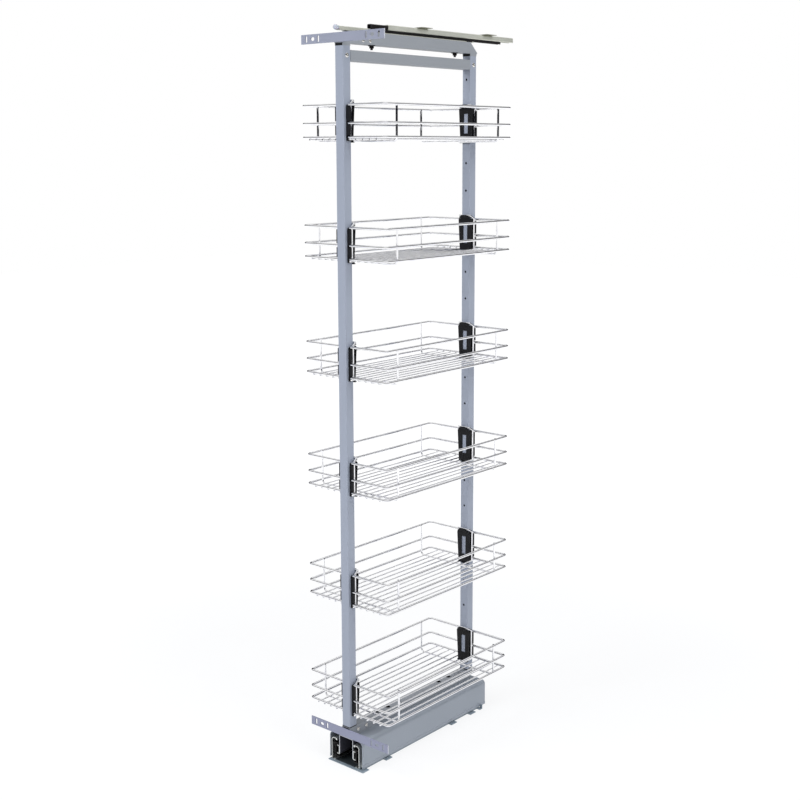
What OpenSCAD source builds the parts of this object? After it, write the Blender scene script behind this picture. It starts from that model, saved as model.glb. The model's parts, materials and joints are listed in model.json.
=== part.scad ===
// Pull-out larder unit: a two-post frame with six wire baskets that slides
// out of a tall kitchen cabinet on a ball runner base and a telescopic top
// guide. Millimetres, +Z up. The origin is on the floor under the middle of
// the frame, and the front (the door side) is towards -Y.

/* [Frame] */
// Depth of the frame over the outer faces of the two posts
frame_depth = 496; // [440:1:560]
// Length of each post tube
post_len = 1640.5; // [1600:0.5:1900]
// Side of the square post tube, the two beams and the cross rail
post_size = 25; // [22:0.5:30]
// Wall of the post tube
post_wall = 1.5; // [1:0.1:2.5]
// Height of the first clip hole above the lower end of a post
first_hole = 42.5; // [38:0.5:60]
// Pitch of the row of clip holes in the posts
hole_pitch = 70; // [60:1:73]
// Diameter of the clip holes
hole_d = 6; // [5:0.1:7]
// Thickness of the foot plug's rim between post and lower beam
foot_rim = 2.5; // [2:0.5:6]
// Thickness of the cap between post and top beam
cap_rim = 6; // [4:0.5:10]
// Length of the plugs inside the post ends
plug_len = 12; // [8:1:12]
// Height of the cross rail
cross_h = 25; // [20:1:30]
// Distance from the top of the posts down to the cross rail
cross_drop = 9; // [8:1:40]

/* [Beams] */
// Height of the top beam
top_beam_h = 28; // [27:1:45]
// Height of the lower beam
low_beam_h = 25; // [24:1:40]
// Wall of both beams
beam_wall = 1.5; // [1:0.1:2.5]
// How far the sloping ends of the top beam run back
top_beam_slope = 27; // [10:1:40]
// Upright lip below the sloping ends of the top beam
top_beam_lip = 3; // [1:0.5:6]
// How far the front end of the lower beam slopes back
low_slope_front = 26; // [6:1:28]
// How far the rear end of the lower beam slopes back
low_slope_rear = 14; // [4:1:28]
// Diameter of the access holes in the top of the lower beam
access_d = 14; // [11:0.5:18]

/* [Baskets] */
// Width of a basket between the centre lines of its side rails
basket_w = 259; // [180:1:400]
// Height of the middle rail over the bottom rail
mid_rail_h = 32; // [25:1:40]
// Height of the top rail over the bottom rail
top_rail_h = 73.5; // [66:0.5:90]
// Wire of the rails
rail_d = 6; // [5:0.1:7]
// Wire of the two cross bows with the uprights
bow_d = 5; // [4:0.1:6]
// Wire of the floor
floor_d = 3.6; // [3:0.1:5]
// Wire of the two hangers
hanger_d = 5; // [4:0.1:5.5]
// Radius of the basket's corners
basket_r = 7; // [5:1:30]
// Radius at the foot of the uprights
bow_r = 10; // [6:1:14]
// Distance of the cross bows from the end rails
bow_in = 45; // [36:1:110]
// Pitch of the floor wires
floor_pitch = 21; // [18:1:30]
// Half distance between the legs of a hanger
hanger_x = 19.5; // [19.5:0.5:24]
// Height of the hanger's arch over the bottom rail
hanger_h = 83; // [80:0.5:110]
// How far the floor wires stick out past the end rails
floor_out = 3; // [0:0.5:6]

/* [Clips] */
// Height of a clip hole over the basket's bottom rail
hole_over_rail = 7; // [5:0.5:9]
// Thickness of the clip's face plate
clip_t = 2.5; // [2:0.1:4]
// Width of the clip at its top
clip_w = 43; // [38:1:48]
// Width of the clip at its foot
clip_foot_w = 35; // [30:1:36]
// How far the clip reaches below the bottom rail
clip_drop = 12; // [8:1:20]
// Width of the window in the clip
window_w = 14; // [8:1:16]
// Height of the window in the clip
window_h = 50; // [30:1:52]
// Thickness of the clip's side wings
wing_t = 3.4; // [2:0.1:3.8]
// Length of the clip's side wings along the post
wing_len = 17; // [10:1:22]

/* [Base] */
// How far the base cover stands out past the posts at each end
cover_over = 1; // [0:0.5:12]
// Width of the base cover
cover_w = 110; // [108:1:140]
// Height of the base cover
cover_h = 68; // [66:1:90]
// Sheet of the base cover
cover_t = 1.5; // [1:0.1:2]
// Radius of the cover's top edges
cover_r = 11; // [4:1:14]
// Gap between the base plate and the cover's lower edge
cover_gap = 3; // [1.5:0.5:4.5]
// Sheet of the base plate
plate_t = 2; // [1.5:0.1:4]
// How far the base plate stands out in front of the posts
plate_lead = 10; // [6:1:50]
// How far the base plate ends short of the rear of the posts
plate_short = 22; // [20:1:60]
// Width of the base plate without its ears
plate_w = 106; // [98:1:106]
// How far the ears stand out from the plate
ear_out = 11; // [9:0.5:20]
// Length of an ear
ear_len = 23; // [16:1:30]
// Diameter of the screw holes in the ears
ear_hole_d = 4.5; // [3.5:0.1:6]

/* [Base runners] */
// Height of the fixed runner member
runner_h = 59; // [58:0.5:60]
// Outer width over the two fixed runner members
runner_span = 93; // [93:0.5:96]
// Sheet of the runner members
runner_t = 1.8; // [1.2:0.1:2]
// How far the front edge of the base plate lies before the runners
run_lead = 6; // [2:1:30]
// How much shorter the middle runner members are than the fixed ones
mid_short = 26; // [16:1:60]
// Diameter of the outer rows of balls
ball_big = 8; // [7:0.5:9]
// Diameter of the inner rows of balls
ball_small = 4; // [3:0.5:5]
// Balls in each row
balls = 8; // [4:1:8]
// Pitch of the balls in a row
ball_pitch = 25; // [12:1:25]
// Width of the carriage channel
channel_w = 46; // [44:0.5:46]
// Height of the carriage channel
channel_h = 49.5; // [46:0.5:54]
// Sheet of the carriage channel
channel_t = 1.5; // [1:0.1:2]

/* [Top guide] */
// Width of the fixed guide rail
guide_w = 16; // [15:0.5:24]
// Height of the fixed guide rail
guide_h = 12.5; // [11:0.5:20]
// Sheet of the guide members
guide_t = 1.5; // [1:0.1:2]
// How far the front end of the fixed guide rail lies behind the front of the posts
guide_back = 162; // [80:1:190]
// Length of the fixed guide rail
guide_len = 498; // [400:1:560]
// How far the front end of the guide's middle member lies behind the front of the posts
guide_mid_back = 107; // [68:1:130]
// Length of the guide's middle member
guide_mid_len = 502; // [460:1:560]
// How far the guide's inner member stands out in front of the top beam
guide_in_over = 1; // [0:0.5:3]
// How far the guide's inner member ends short of the top beam's rear
guide_in_short = 6; // [4:1:40]
// Height of the inner member on the top beam
guide_in_h = 9.5; // [8:0.5:14]
// Width of the fixing tabs
tab_w = 46; // [40:1:80]
// Length of the fixing tabs
tab_len = 40; // [24:1:60]
// Sheet of the fixing tabs
tab_t = 1.2; // [1:0.1:3]
// Distance between the fixing tabs
tab_pitch = 260; // [150:1:320]
// Diameter of the bumper
bumper_d = 12; // [9:0.5:16]

/* [Door brackets] */
// Length of a bracket's bar
bar_len = 257; // [220:1:380]
// Height of a bracket's bar
bar_h = 21.5; // [18:0.5:23]
// Sheet of the brackets
bar_t = 2.5; // [2:0.1:4]
// Gap between the bars and the frame
bar_gap = 1.5; // [0.5:0.5:3]
// Distance of the outer slots from the middle of the bar
slot_far = 112; // [100:1:118]
// Distance of the inner slots from the middle of the bar
slot_near = 74; // [60:1:80]
// Distance of the round-ended holes from the middle of the bar
slot_mid = 92; // [86:1:98]
// Reach of the bracket's arm behind the bar
arm_len = 110; // [108:1:120]

/* [Hidden] */
$fn = 48;

// Fits: radial clearance of a screw, of a moulded plug, and of a sliding part
screw_fit = 0.2;
plug_fit = 0.2;
slide_fit = 0.3;
// Clearance of a ball in its race, and of one smooth part lying on another
ball_fit = 0.05;
// Depth by which welded wires run into each other
weld = 0.25;

// Levels, from the floor up
cover_z0 = plate_t + cover_gap;
cover_z1 = cover_z0 + cover_h;
low_z1 = cover_z1 + low_beam_h;
post_z0 = low_z1 + foot_rim;
post_z1 = post_z0 + post_len;
top_z0 = post_z1 + cap_rim;
top_z1 = top_z0 + top_beam_h;
guide_z0 = top_z1 + guide_in_h;
guide_z1 = guide_z0 + guide_h;
cross_z1 = post_z1 - cross_drop;
cross_z0 = cross_z1 - cross_h;

half = post_size / 2;
post_y = frame_depth / 2 - half;
inner_y = frame_depth / 2 - post_size;
bore = post_size - 2 * post_wall;

// Ends of the beams, the cover, the base plate and the guide's inner member
low_y0 = -frame_depth / 2;
low_y1 = frame_depth / 2 + 2;
top_y0 = -frame_depth / 2 - 1;
top_y1 = frame_depth / 2 + 3;
cover_len = frame_depth + 2 * cover_over;
plate_front = frame_depth / 2 + plate_lead;
plate_rear = frame_depth / 2 - plate_short;
guide_in_front = -top_y0 + guide_in_over;
guide_in_len = guide_in_front + top_y1 - guide_in_short;
guide_front = frame_depth / 2 - guide_back;
guide_mid_front = frame_depth / 2 - guide_mid_back;

// Baskets: the end rails run beside the posts, a little outside their centre
rail_off = 1.5;
rail_x = basket_w / 2;
rail_y = post_y + rail_off;
bow_y = rail_y - bow_in;
mid_wire_over = 21;
leg_y = rail_y - rail_d / 2 - hanger_d / 2 + weld;
arch_y = inner_y - hanger_d / 2 - 0.5;
rail_end = hanger_x - 1;
hanger_bend = 7;
floor_z = -rail_d / 2 - floor_d / 2 + weld;
bow_z = floor_z - floor_d / 2 - bow_d / 2 + weld;
bow_x = rail_x - rail_d / 2 - bow_d / 2 + weld;
floor_n = floor((bow_x - bow_r) / floor_pitch);
baskets = 6;
// the baskets stand a whole number of holes apart, as many as the posts have room for
hanger_head = hanger_h + hanger_d / 2 - hole_over_rail;
head_gap = 10;
holes_per_basket = floor((cross_z0 - head_gap - hanger_head - post_z0 - first_hole) / ((baskets - 1) * hole_pitch));
hole_top_gap = 50;
hole_count = floor((post_len - first_hole - hole_top_gap) / hole_pitch) + 1;
function basket_z(i) = post_z0 + first_hole - hole_over_rail + (baskets - i) * holes_per_basket * hole_pitch;

// Clips
saddle_h = 3.9;
saddle_z = hanger_h - hanger_d / 2 - ball_fit;
wing_x = half + slide_fit;
lug_x = 22;
lug_y = leg_y + hanger_d / 2 + slide_fit;
lug_len = 5.4;
lug_gap = 1.6;
peg_len = 6;
saddle_half = 15;
lip_t = 2.2;
lip_half = 11;
shoulder_drop = 4.5;
window_z = 12;

// Runners, given for the right-hand side
run_x1 = runner_span / 2;
run_z0 = plate_t;
run_z1 = run_z0 + runner_h;
chan_x = channel_w / 2;
chan_z1 = cover_z1 - cover_t;
chan_z0 = chan_z1 - channel_h;
race_in = 28;
race_out = 34;
race_w = 4;
run_lip_top = 5;
run_lip_low = 4;
top_ball_x = race_in + race_w / 2;
low_ball_x = race_out + race_w / 2;
top_ball_z = run_z1 - run_lip_top - ball_big / 2;
low_ball_z = run_z0 + run_lip_low + ball_big / 2;
mid_z1 = top_ball_z - ball_big / 2;
mid_z0 = low_ball_z + ball_big / 2;
mid_web_x = 33.6;
mid_in_x = 26;
mid_out_x = 42;
in_z1 = mid_z1 - runner_t - ball_small;
in_z0 = mid_z0 + runner_t + ball_small;
in_out_x = 31;
small_ball_x = 29;
run_y0 = -plate_front + run_lead;
mid_y0 = run_y0 + 2;
in_y0 = -cover_len / 2;
runner_len = plate_rear - plate_t - run_y0;
middle_len = runner_len - mid_short;
in_len = cover_len - 24;
outer_row_in = 134;
inner_row_in = 143;
outer_row_y = mid_y0 + outer_row_in;
inner_row_y = in_y0 + inner_row_in;

// Base plate, cover hem and rivets
ear_x = plate_w / 2 + ear_out;
ear_hole_x = ear_x - ear_out / 2;
ear_2_in = 99;
ear_3_in = 123;
ear_4_in = 41;
ear_y = [-plate_front + ear_len / 2, -plate_front + ear_2_in, plate_rear - ear_3_in, plate_rear - ear_4_in];
hem_t = 0.8;
hem_h = 7;
lug_x0 = cover_w / 2 + hem_t + 1;
stop_h = 14;
lug_h = 12;
rivet_d = 4;
rivet_head = 6;
rivet_head_h = 1;
rivet_x = 41;
rivet_y = [for (i = [0:4]) run_y0 + 27 + i * (runner_len - 46) / 4];
leg_rivet_y = [for (i = [0:4]) in_y0 + 49 + i * (in_len - 74) / 4];
leg_rivet_z = (in_z0 + in_z1) / 2;

// Top guide, half widths
guide_x = guide_w / 2;
guide_slot = 5.2;
mid_head = guide_x - guide_t - slide_fit;
mid_skirt = guide_slot - slide_fit;
mid_bore = mid_skirt - guide_t;
inner_half = mid_bore - slide_fit;
inner_base_h = 2.5;
inner_base_half = 6;
skirt_gap = 0.5;
tab_in = 126;
tab_y = -guide_front + tab_in;
tab_hole_d = 4.5;
tab_hole_x = tab_w / 2 - 6;
bumper_z = top_z1 + bumper_d / 2;
clip_len = 22;
clip_y = -guide_in_front + guide_in_len - 33;

// Screws: shank, head and nut sizes
m6 = 6;
m6_head = 10;
m6_head_h = 4;
m6_af = 10;
m6_nut_h = 5;
m4 = 4;
m4_head = 8;
m4_head_h = 2.2;
m4_nut_h = 3.2;
m5_head = 11;
m5_head_h = 2.8;
guide_bolt_front = 112;
guide_bolt_rear = 76;
bolt_y = [top_y0 + guide_bolt_front, top_y1 - guide_bolt_rear];
washer_d = 17.5;
washer_t = 1.5;
carriage_bolt_1 = 117;
carriage_bolt_2 = 156;
carriage_bolt_3 = 136;
carriage_bolt_4 = 94;
carriage_y = [low_y0 + carriage_bolt_1, low_y0 + carriage_bolt_2, low_y1 - carriage_bolt_3, low_y1 - carriage_bolt_4];
low_screw_y = [30, 60];
top_screw_y = [69, 93];

// Beams, cross rail and its joiners
low_screw_z = cover_z1 + low_beam_h / 2 + 0.5;
top_screw_z = top_z0 + 8;
cross_z = (cross_z0 + cross_z1) / 2;
joiner_t = cross_h - 2 * post_wall - 4.4;
cap_plug = min(plug_len, cross_drop + (cross_h - joiner_t) / 2 - 0.7);

// Frame centre line to the middle of a bracket's bar
arm_x1 = half - beam_wall;
arm_x0 = arm_x1 - bar_t;
bar_x = half;
bar_y1 = -frame_depth / 2 - bar_gap;
bar_y0 = bar_y1 - bar_t;

// Straight wires and blocks along the axes
module wire_x(x0, x1, y, z, d) { translate([x0, y, z]) rotate([0, 90, 0]) cylinder(h = x1 - x0, d = d); }
module wire_y(x, y0, y1, z, d) { translate([x, y0, z]) rotate([-90, 0, 0]) cylinder(h = y1 - y0, d = d); }
module wire_z(x, y, z0, z1, d) { translate([x, y, z0]) cylinder(h = z1 - z0, d = d); }
module block(x0, x1, y0, y1, z0, z1) { translate([x0, y0, z0]) cube([x1 - x0, y1 - y0, z1 - z0]); }
module along_y(y0, y1) { translate([0, y1, 0]) rotate([90, 0, 0]) linear_extrude(height = y1 - y0) children(); }
module along_x(x0, x1) { translate([x0, 0, 0]) rotate([90, 0, 90]) linear_extrude(height = x1 - x0) children(); }
module both_sides() { children(); mirror([1, 0, 0]) children(); }
module both_ends() { children(); mirror([0, 1, 0]) children(); }

// A straight wire between any two points
module wire(p, q, d) {
  v = q - p;
  translate(p)
    rotate([0, acos(v[2] / norm(v)), atan2(v[1], v[0])])
      cylinder(h = norm(v), d = d);
}

// Corner points of a rectangle with rounded corners
function arc(cx, cy, r, a0, a1, n) = [for (i = [0:n]) let (a = a0 + (a1 - a0) * i / n) [cx + r * cos(a), cy + r * sin(a)]];
function round_rect(w, h, r, n = 4) = concat(
  arc(w / 2 - r, h / 2 - r, r, 0, 90, n),
  arc(-w / 2 + r, h / 2 - r, r, 90, 180, n),
  arc(-w / 2 + r, -h / 2 + r, r, 180, 270, n),
  arc(w / 2 - r, -h / 2 + r, r, 270, 360, n)
);

// ---------------------------------------------------------------- base

// The plate that is screwed to the cabinet floor
module base_plate() {
  color("lightsteelblue") difference() {
    union() {
      block(-plate_w / 2, plate_w / 2, -plate_front, plate_rear, 0, plate_t);
      for (y = ear_y) ear(y);
      for (i = [1:3]) mirror([1, 0, 0]) ear(ear_y[i]);
      // upturned lugs outside the cover and a stop flange under the carriage
      both_sides() rear_lug();
      block(-race_in, race_in, plate_rear - plate_t, plate_rear, 0, stop_h);
    }
    for (y = ear_y) ear_hole(y);
    for (i = [1:3]) mirror([1, 0, 0]) ear_hole(ear_y[i]);
    both_sides() for (y = rivet_y) wire_z(rivet_x, y, -1, plate_t + 1, rivet_d + 2 * ball_fit);
  }
}
module ear(y) {
  block(plate_w / 2 - 1, ear_x, y - ear_len / 2, y + ear_len / 2, 0, plate_t);
}
module ear_hole(y) { wire_z(ear_hole_x, y, -1, plate_t + 1, ear_hole_d); }
module rear_lug() {
  block(plate_w / 2 - 1, ear_x, plate_rear - ear_out, plate_rear, 0, plate_t);
  block(lug_x0, ear_x, plate_rear - plate_t, plate_rear, 0, lug_h);
}

// Rivets that hold the fixed runner members on the plate
module base_rivets() {
  color("silver") both_sides() for (y = rivet_y) {
    wire_z(rivet_x, y, 0.2, plate_t + runner_t, rivet_d);
    wire_z(rivet_x, y, plate_t + runner_t, plate_t + runner_t + rivet_head_h, rivet_head);
  }
}

// Fixed member: a C with a hooked top race and a curled lower race
module runner_outer() {
  t = runner_t;
  slope = 5;
  difference() {
    along_y(run_y0, run_y0 + runner_len) polygon([
      [race_out, run_z0], [run_x1 - 1, run_z0], [run_x1, run_z0 + 1],
      [run_x1, run_z1 - slope], [run_x1 - slope, run_z1], [race_in, run_z1],
      [race_in, run_z1 - run_lip_top], [race_in + race_w, run_z1 - run_lip_top],
      [race_in + race_w, run_z1 - t], [run_x1 - slope - 0.7, run_z1 - t],
      [run_x1 - t, run_z1 - slope - 0.7], [run_x1 - t, run_z0 + t],
      [race_out + race_w, run_z0 + t], [race_out + race_w, run_z0 + run_lip_low],
      [race_out, run_z0 + run_lip_low]
    ]);
    for (y = rivet_y) wire_z(rivet_x, y, run_z0 - 1, run_z0 + t + 1, rivet_d + 2 * ball_fit);
  }
}
module runner_outer_right() { color("beige") runner_outer(); }
module runner_outer_left() { color("beige") mirror([1, 0, 0]) runner_outer(); }

// Middle member: an I that runs between the two races
module runner_middle() {
  t = runner_t;
  along_y(mid_y0, mid_y0 + middle_len) polygon([
    [mid_in_x, mid_z0], [mid_out_x, mid_z0], [mid_out_x, mid_z0 + t], [mid_web_x + t, mid_z0 + t],
    [mid_web_x + t, mid_z1 - t], [mid_out_x, mid_z1 - t], [mid_out_x, mid_z1], [mid_in_x, mid_z1],
    [mid_in_x, mid_z1 - t], [mid_web_x, mid_z1 - t], [mid_web_x, mid_z0 + t], [mid_in_x, mid_z0 + t]
  ]);
}
module runner_middle_right() { color("dimgray") runner_middle(); }
module runner_middle_left() { color("dimgray") mirror([1, 0, 0]) runner_middle(); }

// Rows of balls: outer rows on the races, inner rows in the carriage member
module runner_balls_outer() {
  color("silver") both_sides() for (i = [0:balls - 1]) {
    translate([top_ball_x, outer_row_y + i * ball_pitch, top_ball_z]) sphere(d = ball_big - 2 * ball_fit);
    translate([low_ball_x, outer_row_y + i * ball_pitch, low_ball_z]) sphere(d = ball_big - 2 * ball_fit);
  }
}
module runner_balls_inner() {
  color("silver") both_sides() for (i = [0:balls - 1]) {
    translate([small_ball_x, inner_row_y + i * ball_pitch, in_z1 + ball_small / 2])
      sphere(d = ball_small - 2 * ball_fit);
    translate([small_ball_x, inner_row_y + i * ball_pitch, in_z0 - ball_small / 2])
      sphere(d = ball_small - 2 * ball_fit);
  }
}

// Carriage member: a narrow C riveted to the channel's leg
module runner_inner() {
  t = runner_t;
  difference() {
    along_y(in_y0, in_y0 + in_len) polygon([
      [chan_x, in_z0], [in_out_x, in_z0], [in_out_x, in_z0 + t], [chan_x + t, in_z0 + t],
      [chan_x + t, in_z1 - t], [in_out_x, in_z1 - t], [in_out_x, in_z1], [chan_x, in_z1]
    ]);
    for (y = leg_rivet_y) wire_x(chan_x - 1, chan_x + t + 1, y, leg_rivet_z, rivet_d + 2 * ball_fit);
  }
}
module runner_inner_right() { color("lightgray") runner_inner(); }
module runner_inner_left() { color("lightgray") mirror([1, 0, 0]) runner_inner(); }
module carriage_rivets() {
  color("silver") both_sides() for (y = leg_rivet_y) {
    wire_x(chan_x - channel_t, chan_x + runner_t, y, leg_rivet_z, rivet_d);
    wire_x(chan_x - channel_t - rivet_head_h, chan_x - channel_t, y, leg_rivet_z, rivet_head);
    wire_x(chan_x + runner_t, chan_x + runner_t + rivet_head_h, y, leg_rivet_z, rivet_head);
  }
}

// Inverted U that hangs under the cover's top
module carriage_channel() {
  t = channel_t;
  color("gray") difference() {
    along_y(-cover_len / 2, cover_len / 2) polygon([
      [-chan_x, chan_z0], [-chan_x, chan_z1 - 2], [-chan_x + 2, chan_z1], [chan_x - 2, chan_z1],
      [chan_x, chan_z1 - 2], [chan_x, chan_z0], [chan_x - t, chan_z0],
      [chan_x - t, chan_z1 - t], [-chan_x + t, chan_z1 - t], [-chan_x + t, chan_z0]
    ]);
    for (y = carriage_y) wire_z(0, y, chan_z1 - t - 1, chan_z1 + 1, m6 + 2 * screw_fit);
    both_sides() for (y = leg_rivet_y)
      wire_x(chan_x - t - 1, chan_x + 1, y, leg_rivet_z, rivet_d + 2 * ball_fit);
  }
}

// Sheet cover over the runners; it travels with the frame
module base_cover() {
  w = cover_w / 2;
  t = cover_t;
  r = cover_r;
  outer = concat([[w + hem_t, cover_z0], [w + hem_t, cover_z0 + hem_h], [w, cover_z0 + hem_h + hem_t]],
                 arc(w - r, cover_z1 - r, r, 0, 90, 8), arc(-w + r, cover_z1 - r, r, 90, 180, 8),
                 [[-w, cover_z0 + hem_h + hem_t], [-w - hem_t, cover_z0 + hem_h], [-w - hem_t, cover_z0]]);
  inner = concat([[-w + t, cover_z0]], arc(-w + r, cover_z1 - r, r - t, 180, 90, 8),
                 arc(w - r, cover_z1 - r, r - t, 90, 0, 8), [[w - t, cover_z0]]);
  color("lightslategray") difference() {
    along_y(-cover_len / 2, cover_len / 2) polygon(concat(outer, inner));
    for (y = carriage_y) wire_z(0, y, cover_z1 - t - 1, cover_z1 + 1, m6 + 2 * screw_fit);
  }
}

// ------------------------------------------------------- beams and posts

// Square tube on the cover with ends that slope back towards the bottom
module lower_beam() {
  t = beam_wall;
  color("lightslategray") difference() {
    along_x(-half, half) polygon([
      [low_y0 + low_slope_front, cover_z1], [low_y1 - low_slope_rear, cover_z1],
      [low_y1, low_z1 - 3], [low_y1, low_z1], [low_y0, low_z1], [low_y0, low_z1 - 3]
    ]);
    block(-half + t, half - t, low_y0 - 1, low_y1 + 1, cover_z1 + t, low_z1 - t);
    for (y = carriage_y) {
      wire_z(0, y, cover_z1 - 1, cover_z1 + t + 1, m6 + 2 * screw_fit);
      wire_z(0, y, low_z1 - t - 1, low_z1 + 1, access_d);
    }
    both_ends() wire_z(0, post_y, low_z1 - t - 1, low_z1 + 1, m6 + 2 * screw_fit);
    for (y = low_screw_y) wire_x(half - t - 1, half + 1, low_y0 + y, low_screw_z, m6 + 2 * screw_fit);
  }
}

// Bolts down through beam, cover and channel, with their nuts
module carriage_bolts() {
  color("silver") for (y = carriage_y) {
    wire_z(0, y, cover_z1 + beam_wall, cover_z1 + beam_wall + m6_head_h, m6_head);
    wire_z(0, y, chan_z1 - channel_t - m6_nut_h - 2, cover_z1 + beam_wall, m6);
  }
}
module hex_nut(h, af, d) {
  difference() {
    cylinder(h = h, d = af / cos(30), $fn = 6);
    translate([0, 0, -1]) cylinder(h = h + 2, d = d);
  }
}
module carriage_nuts() {
  color("silver") for (y = carriage_y)
    translate([0, y, chan_z1 - channel_t - m6_nut_h]) hex_nut(m6_nut_h, m6_af, m6 + 2 * ball_fit);
}

// Square tube with the row of clip holes in its inner wall
module post() {
  s = post_size;
  difference() {
    translate([0, 0, post_z0]) linear_extrude(height = post_len) polygon(round_rect(s, s, 2));
    block(-bore / 2, bore / 2, -bore / 2, bore / 2, post_z0 - 1, post_z1 + 1);
    for (i = [0:hole_count - 1])
      wire_y(0, half - post_wall - 1, half + 1, post_z0 + first_hole + i * hole_pitch, hole_d);
    // opening for the joiner and hole for its screw
    block(-joiner_t / 2 - plug_fit, joiner_t / 2 + plug_fit, 0, half + 1,
          cross_z - joiner_t / 2 - plug_fit, cross_z + joiner_t / 2 + plug_fit);
    wire_x(half - post_wall - 1, half + 1, 0, cross_z, m4 + 2 * screw_fit);
  }
}
module front_post() { color("lightsteelblue") translate([0, -post_y, 0]) post(); }
module rear_post() { color("lightsteelblue") mirror([0, 1, 0]) translate([0, -post_y, 0]) post(); }

// Moulded plugs in the post feet, with the bolts up through the lower beam
module post_foot_plugs() {
  b = bore / 2 - plug_fit;
  color("black") both_ends() translate([0, post_y, 0]) difference() {
    union() {
      block(-half, half, -half, half, low_z1, post_z0);
      block(-b, b, -b, b, post_z0, post_z0 + plug_len);
    }
    wire_z(0, 0, low_z1 - 1, post_z0 + plug_len + 1, m6 + 2 * ball_fit);
  }
}
module post_foot_bolts() {
  color("silver") both_ends() {
    wire_z(0, post_y, low_z1 - beam_wall - m6_head_h, low_z1 - beam_wall, m6_head);
    wire_z(0, post_y, low_z1 - beam_wall, post_z0 + plug_len, m6);
  }
}

// Moulded caps between the posts and the top beam
module post_caps() {
  b = bore / 2 - plug_fit;
  c = half - beam_wall - plug_fit;
  color("black") both_ends() translate([0, post_y, 0]) difference() {
    union() {
      block(-c, c, -half, half, post_z1, top_z0);
      block(-b, b, -b, b, post_z1 - cap_plug, post_z1);
    }
    wire_z(0, 0, post_z1 - cap_plug - 1, top_z0 + 1, m6 + 2 * ball_fit);
  }
}
module post_cap_bolts() {
  color("silver") both_ends() {
    wire_z(0, post_y, top_z0 + beam_wall, top_z0 + beam_wall + m6_head_h, m6_head);
    wire_z(0, post_y, post_z1 - cap_plug, top_z0 + beam_wall, m6);
  }
}

// Rail between the posts, joined to them by square tongues
module cross_rail() {
  w = post_wall;
  color("lightslategray") difference() {
    along_y(-inner_y, inner_y) translate([0, cross_z]) polygon(round_rect(post_size, cross_h, 2));
    block(-half + w, half - w, -inner_y - 1, inner_y + 1, cross_z0 + w, cross_z1 - w);
  }
}
module cross_rail_joiners() {
  j = joiner_t / 2;
  b = bore / 2 - plug_fit;
  h = cross_h / 2 - post_wall - plug_fit;
  color("dimgray") both_ends() difference() {
    union() {
      block(-j, j, inner_y - 1, post_y + 7, cross_z - j, cross_z + j);
      block(-b, b, inner_y - 22, inner_y - 0.2, cross_z - h, cross_z + h);
    }
    wire_x(0, half, post_y, cross_z, m4 + 2 * ball_fit);
  }
}
module cross_rail_screws() {
  color("silver") both_ends() {
    wire_x(half, half + m5_head_h, post_y, cross_z, m5_head);
    wire_x(1, half, post_y, cross_z, m4);
  }
}

// Top beam: a tube with sloping ends and flaps over the sides of the caps
module top_beam() {
  t = beam_wall;
  color("lightslategray") difference() {
    union() {
      along_x(-half, half) polygon([
        [top_y0, top_z0], [top_y1, top_z0], [top_y1, top_z0 + top_beam_lip],
        [top_y1 - top_beam_slope, top_z1], [top_y0 + top_beam_slope, top_z1], [top_y0, top_z0 + top_beam_lip]
      ]);
      both_ends() both_sides() block(half - t, half, inner_y, inner_y + post_size, post_z1, top_z0 + t / 2);
    }
    block(-half + t, half - t, top_y0 - 1, top_y1 + 1, top_z0 + t, top_z1 - t);
    for (y = bolt_y) wire_z(0, y, top_z0 - 1, top_z1 + 1, m6 + 2 * screw_fit);
    both_ends() wire_z(0, post_y, top_z0 - 1, top_z0 + t + 1, m6 + 2 * screw_fit);
    for (y = top_screw_y) wire_x(half - t - 1, half + 1, top_y0 + y, top_screw_z, m4 + 2 * screw_fit);
  }
}

// Bolts with washers that clamp the guide's inner member on the beam
module guide_bolts() {
  color("black") for (y = bolt_y) {
    translate([0, y, top_z0 - washer_t - m6_nut_h]) cylinder(h = m6_nut_h, d = m6_af / cos(30), $fn = 6);
    wire_z(0, y, top_z0 - washer_t, top_z1 + inner_base_h - 0.3, m6);
    wire_z(0, y, top_z0 - washer_t - m6_nut_h - 4, top_z0 - washer_t - m6_nut_h, m6);
  }
}
module guide_washers() {
  color("black") for (y = bolt_y) difference() {
    wire_z(0, y, top_z0 - washer_t, top_z0, washer_d);
    wire_z(0, y, top_z0 - washer_t - 1, top_z0 + 1, m6 + 2 * screw_fit);
  }
}

// ------------------------------------------------------------- top guide

// Fixed rail: a C, open downwards, with lips under the middle member's head
module guide_rail_fixed() {
  t = guide_t;
  c = 3;
  color("palegoldenrod") along_y(-guide_front, -guide_front + guide_len) polygon(concat(
    [[guide_slot, guide_z0], [guide_x - 1, guide_z0], [guide_x, guide_z0 + 1]],
    arc(guide_x - c, guide_z1 - c, c, 0, 90, 4), arc(-guide_x + c, guide_z1 - c, c, 90, 180, 4),
    [[-guide_x, guide_z0 + 1], [-guide_x + 1, guide_z0], [-guide_slot, guide_z0], [-guide_slot, guide_z0 + t],
     [-guide_x + t, guide_z0 + t], [-guide_x + t, guide_z1 - c], [-guide_x + c, guide_z1 - t],
     [guide_x - c, guide_z1 - t], [guide_x - t, guide_z1 - c], [guide_x - t, guide_z0 + t],
     [guide_slot, guide_z0 + t]]
  ));
}
module guide_rail_tabs() {
  color("palegoldenrod") for (i = [0:1]) translate([0, tab_y + i * tab_pitch, guide_z1]) difference() {
    block(-tab_w / 2, tab_w / 2, -tab_len / 2, tab_len / 2, 0, tab_t);
    both_sides() wire_z(tab_hole_x, 0, -1, tab_t + 1, tab_hole_d);
  }
}

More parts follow.
